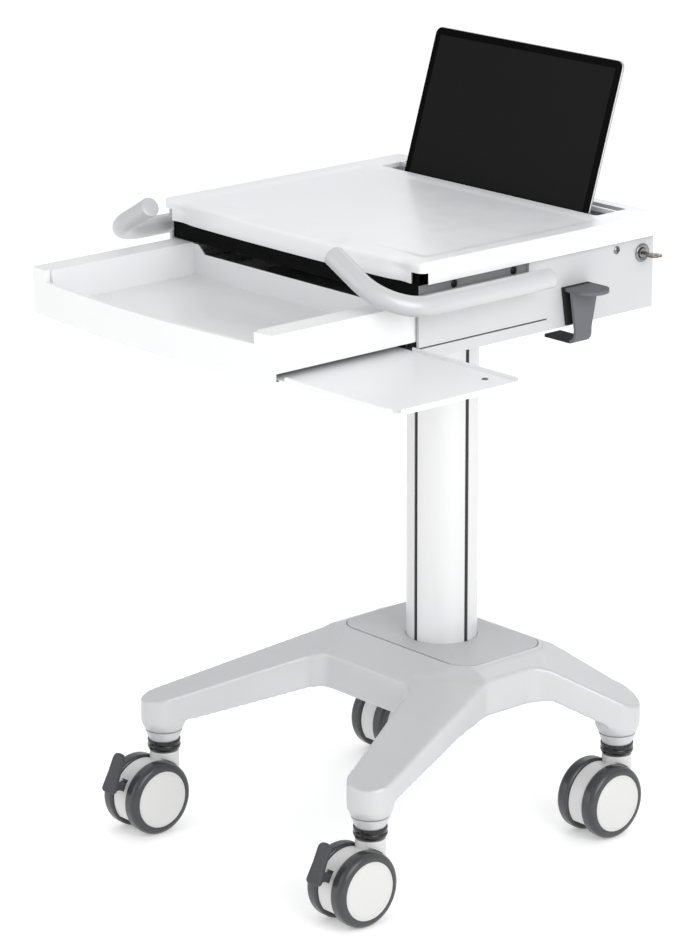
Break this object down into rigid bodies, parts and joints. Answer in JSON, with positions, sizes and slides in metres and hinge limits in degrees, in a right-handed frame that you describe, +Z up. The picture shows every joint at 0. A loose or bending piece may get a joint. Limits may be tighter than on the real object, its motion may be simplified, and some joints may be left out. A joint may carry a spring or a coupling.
{
  "type": "medication cart",
  "caption": "Height-adjustable trolley on twin-wheel casters: worktop with drawer, side handles, pull-out mouse tray and an upright laptop screen.",
  "frame": {"origin": "on the floor, under the middle of the column", "axes": "+Z up; -Y is the front, the way the drawer opens; +X is on the right of a person standing at the front"},
  "size_m": [0.7037, 0.6415, 0.9948],
  "materials": {
    "worktop_white": "glossy moulded white",
    "tray_white": "smooth white powder coat",
    "panel_paint": "satin light grey powder coat",
    "base_paint": "satin silver-grey paint",
    "cover_plastic": "fine-textured mid grey",
    "column_aluminium": "white anodised",
    "inner_steel": "zinc grey",
    "black_steel": "gloss black",
    "bright_steel": "plated",
    "black_plastic": "satin black",
    "deck_black": "satin black powder coat",
    "handle_paint": "satin silver-grey",
    "hook_plastic": "moulded dark grey",
    "lock_chrome": "polished",
    "key_metal": "nickel brass, worn",
    "caster_white": "moulded white nylon",
    "tyre_grey": "dark grey polyurethane",
    "ring_black": "moulded black",
    "pedal_plastic": "fine ribbed dark grey",
    "laptop_shell": "thin silver anodised",
    "screen_glass": "gloss black, switched off"
  },
  "bodies": {
    "base": {"base_frame": "base_paint", "base_cover": "cover_plastic", "caster_sockets": "base_paint", "column_outer": "column_aluminium", "column_glides": "black_plastic", "gas_spring_cylinder": "black_steel", "caster_fl_stem": "ring_black", "caster_fr_stem": "ring_black", "caster_rl_stem": "ring_black", "caster_rr_stem": "ring_black"},
    "lift": {"column_inner": "inner_steel", "gas_spring_rod": "bright_steel", "column_head_plate": "inner_steel", "housing_shell": "panel_paint", "laptop_deck": "deck_black", "handle_left": "handle_paint", "handle_right": "handle_paint", "side_screws": "bright_steel", "cable_hook": "hook_plastic", "drawer_rails_fixed": "inner_steel", "lock_barrel": "lock_chrome", "lid_hinge_pins": "bright_steel", "laptop_base": "laptop_shell"},
    "lid": {"worktop_lid": "worktop_white"},
    "screen": {"laptop_screen_shell": "laptop_shell", "laptop_screen_glass": "screen_glass"},
    "key": {"lock_plug_key": "key_metal"},
    "lever": {"lift_lever": "black_plastic"},
    "drawer": {"drawer_tray": "worktop_white", "drawer_front": "worktop_white", "drawer_runners": "inner_steel", "mouse_tray_guides": "inner_steel"},
    "mouse_tray_body": {"mouse_tray": "tray_white", "mouse_tray_screw": "black_steel"},
    "swivel_fl": {"caster_fl_housing": "caster_white", "caster_fl_axle": "bright_steel"},
    "wheel_fl_left": {"caster_fl_hub_left": "caster_white", "caster_fl_tyre_left": "tyre_grey"},
    "wheel_fl_right": {"caster_fl_hub_right": "caster_white", "caster_fl_tyre_right": "tyre_grey"},
    "pedal_fl": {"caster_fl_brake_pedal": "pedal_plastic"},
    "swivel_fr": {"caster_fr_housing": "caster_white", "caster_fr_axle": "bright_steel"},
    "wheel_fr_left": {"caster_fr_hub_left": "caster_white", "caster_fr_tyre_left": "tyre_grey"},
    "wheel_fr_right": {"caster_fr_hub_right": "caster_white", "caster_fr_tyre_right": "tyre_grey"},
    "pedal_fr": {"caster_fr_brake_pedal": "pedal_plastic"},
    "swivel_rl": {"caster_rl_housing": "caster_white", "caster_rl_axle": "bright_steel"},
    "wheel_rl_left": {"caster_rl_hub_left": "caster_white", "caster_rl_tyre_left": "tyre_grey"},
    "wheel_rl_right": {"caster_rl_hub_right": "caster_white", "caster_rl_tyre_right": "tyre_grey"},
    "swivel_rr": {"caster_rr_housing": "caster_white", "caster_rr_axle": "bright_steel"},
    "wheel_rr_left": {"caster_rr_hub_left": "caster_white", "caster_rr_tyre_left": "tyre_grey"},
    "wheel_rr_right": {"caster_rr_hub_right": "caster_white", "caster_rr_tyre_right": "tyre_grey"}
  },
  "joints": [
    {"name": "lift_slide", "type": "slide", "parent": "base", "child": "lift", "axis": [0, 0, 1], "range_m": [0, 0.3]},
    {"name": "lid_hinge", "type": "hinge", "parent": "lift", "child": "lid", "pos_m": [0, 0.1385, 0.798], "axis": [-1, 0, 0], "range_deg": [0, 30]},
    {"name": "screen_tilt", "type": "hinge", "parent": "lift", "child": "screen", "pos_m": [0, 0.079, 0.785], "axis": [-1, 0, 0], "range_deg": [-20, 10]},
    {"name": "key_turn", "type": "hinge", "parent": "lift", "child": "key", "pos_m": [0.2314, 0.118, 0.769], "axis": [1, 0, 0], "range_deg": [0, 90]},
    {"name": "lever_pull", "type": "hinge", "parent": "lift", "child": "lever", "pos_m": [-0.068, -0.054, 0.685], "axis": [0, 0, 1], "range_deg": [0, 15]},
    {"name": "drawer_slide", "type": "slide", "parent": "lift", "child": "drawer", "axis": [0, 1, 0], "range_m": [0, 0.213]},
    {"name": "mouse_tray_slide", "type": "slide", "parent": "drawer", "child": "mouse_tray_body", "axis": [-1, 0, 0], "range_m": [0, 0.199]},
    {"name": "swivel_fl_turn", "type": "hinge", "parent": "base", "child": "swivel_fl", "pos_m": [-0.2, -0.303, 0.09], "axis": [0, 0, 1], "continuous": true},
    {"name": "wheel_fl_left_roll", "type": "hinge", "parent": "swivel_fl", "child": "wheel_fl_left", "pos_m": [-0.2, -0.333, 0.048], "axis": [1, 0, 0], "continuous": true},
    {"name": "wheel_fl_right_roll", "type": "hinge", "parent": "swivel_fl", "child": "wheel_fl_right", "pos_m": [-0.2, -0.333, 0.048], "axis": [1, 0, 0], "continuous": true},
    {"name": "brake_fl_press", "type": "hinge", "parent": "swivel_fl", "child": "pedal_fl", "pos_m": [-0.2, -0.367, 0.069], "axis": [1, 0, 0], "range_deg": [0, 8]},
    {"name": "swivel_fr_turn", "type": "hinge", "parent": "base", "child": "swivel_fr", "pos_m": [0.2, -0.303, 0.09], "axis": [0, 0, 1], "continuous": true},
    {"name": "wheel_fr_left_roll", "type": "hinge", "parent": "swivel_fr", "child": "wheel_fr_left", "pos_m": [0.2, -0.333, 0.048], "axis": [1, 0, 0], "continuous": true},
    {"name": "wheel_fr_right_roll", "type": "hinge", "parent": "swivel_fr", "child": "wheel_fr_right", "pos_m": [0.2, -0.333, 0.048], "axis": [1, 0, 0], "continuous": true},
    {"name": "brake_fr_press", "type": "hinge", "parent": "swivel_fr", "child": "pedal_fr", "pos_m": [0.2, -0.367, 0.069], "axis": [1, 0, 0], "range_deg": [0, 8]},
    {"name": "swivel_rl_turn", "type": "hinge", "parent": "base", "child": "swivel_rl", "pos_m": [-0.2, 0.123, 0.09], "axis": [0, 0, 1], "continuous": true},
    {"name": "wheel_rl_left_roll", "type": "hinge", "parent": "swivel_rl", "child": "wheel_rl_left", "pos_m": [-0.2, 0.093, 0.048], "axis": [1, 0, 0], "continuous": true},
    {"name": "wheel_rl_right_roll", "type": "hinge", "parent": "swivel_rl", "child": "wheel_rl_right", "pos_m": [-0.2, 0.093, 0.048], "axis": [1, 0, 0], "continuous": true},
    {"name": "swivel_rr_turn", "type": "hinge", "parent": "base", "child": "swivel_rr", "pos_m": [0.2, 0.123, 0.09], "axis": [0, 0, 1], "continuous": true},
    {"name": "wheel_rr_left_roll", "type": "hinge", "parent": "swivel_rr", "child": "wheel_rr_left", "pos_m": [0.2, 0.093, 0.048], "axis": [1, 0, 0], "continuous": true},
    {"name": "wheel_rr_right_roll", "type": "hinge", "parent": "swivel_rr", "child": "wheel_rr_right", "pos_m": [0.2, 0.093, 0.048], "axis": [1, 0, 0], "continuous": true}
  ]
}
